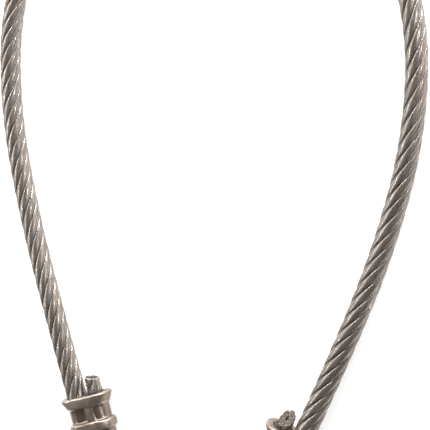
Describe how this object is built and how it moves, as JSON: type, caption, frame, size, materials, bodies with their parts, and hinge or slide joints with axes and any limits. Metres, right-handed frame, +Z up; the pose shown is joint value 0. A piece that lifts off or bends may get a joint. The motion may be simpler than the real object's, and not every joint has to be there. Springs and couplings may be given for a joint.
{
  "type": "wire rope sling",
  "caption": "Steel wire rope sling lying in a U: one bare stranded rope, each end turned back round a thimble and held in a pressed flanged sleeve.",
  "frame": {"origin": "on the surface that the sling lies on, under the middle of the whole sling", "axes": "+Z up; +Y from the thimble eyes towards the bow of the U; end A on the -X side, end B on the +X side"},
  "size_m": [0.2543, 0.4576, 0.018],
  "materials": {
    "rope_steel": "bare drawn wire, lightly oiled",
    "fibre_core": "greased fibre",
    "sleeve_metal": "pressed, dull, fine scratches",
    "thimble_zinc": "zinc plated"
  },
  "bodies": {
    "root": {"body_rope_strands": "rope_steel", "body_rope_core": "fibre_core", "ferrule_a": "sleeve_metal", "ferrule_b": "sleeve_metal", "live_leg_in_ferrule_a": "rope_steel", "live_leg_in_ferrule_b": "rope_steel", "return_leg_in_ferrule_a": "rope_steel", "return_leg_in_ferrule_b": "rope_steel", "eye_rope_strands_a": "rope_steel", "eye_rope_strands_b": "rope_steel", "eye_rope_core_a": "fibre_core", "eye_rope_core_b": "fibre_core", "thimble_a": "thimble_zinc", "thimble_b": "thimble_zinc", "dead_end_strands_a": "rope_steel", "dead_end_strands_b": "rope_steel", "dead_end_core_a": "fibre_core", "dead_end_core_b": "fibre_core"}
  },
  "joints": []
}
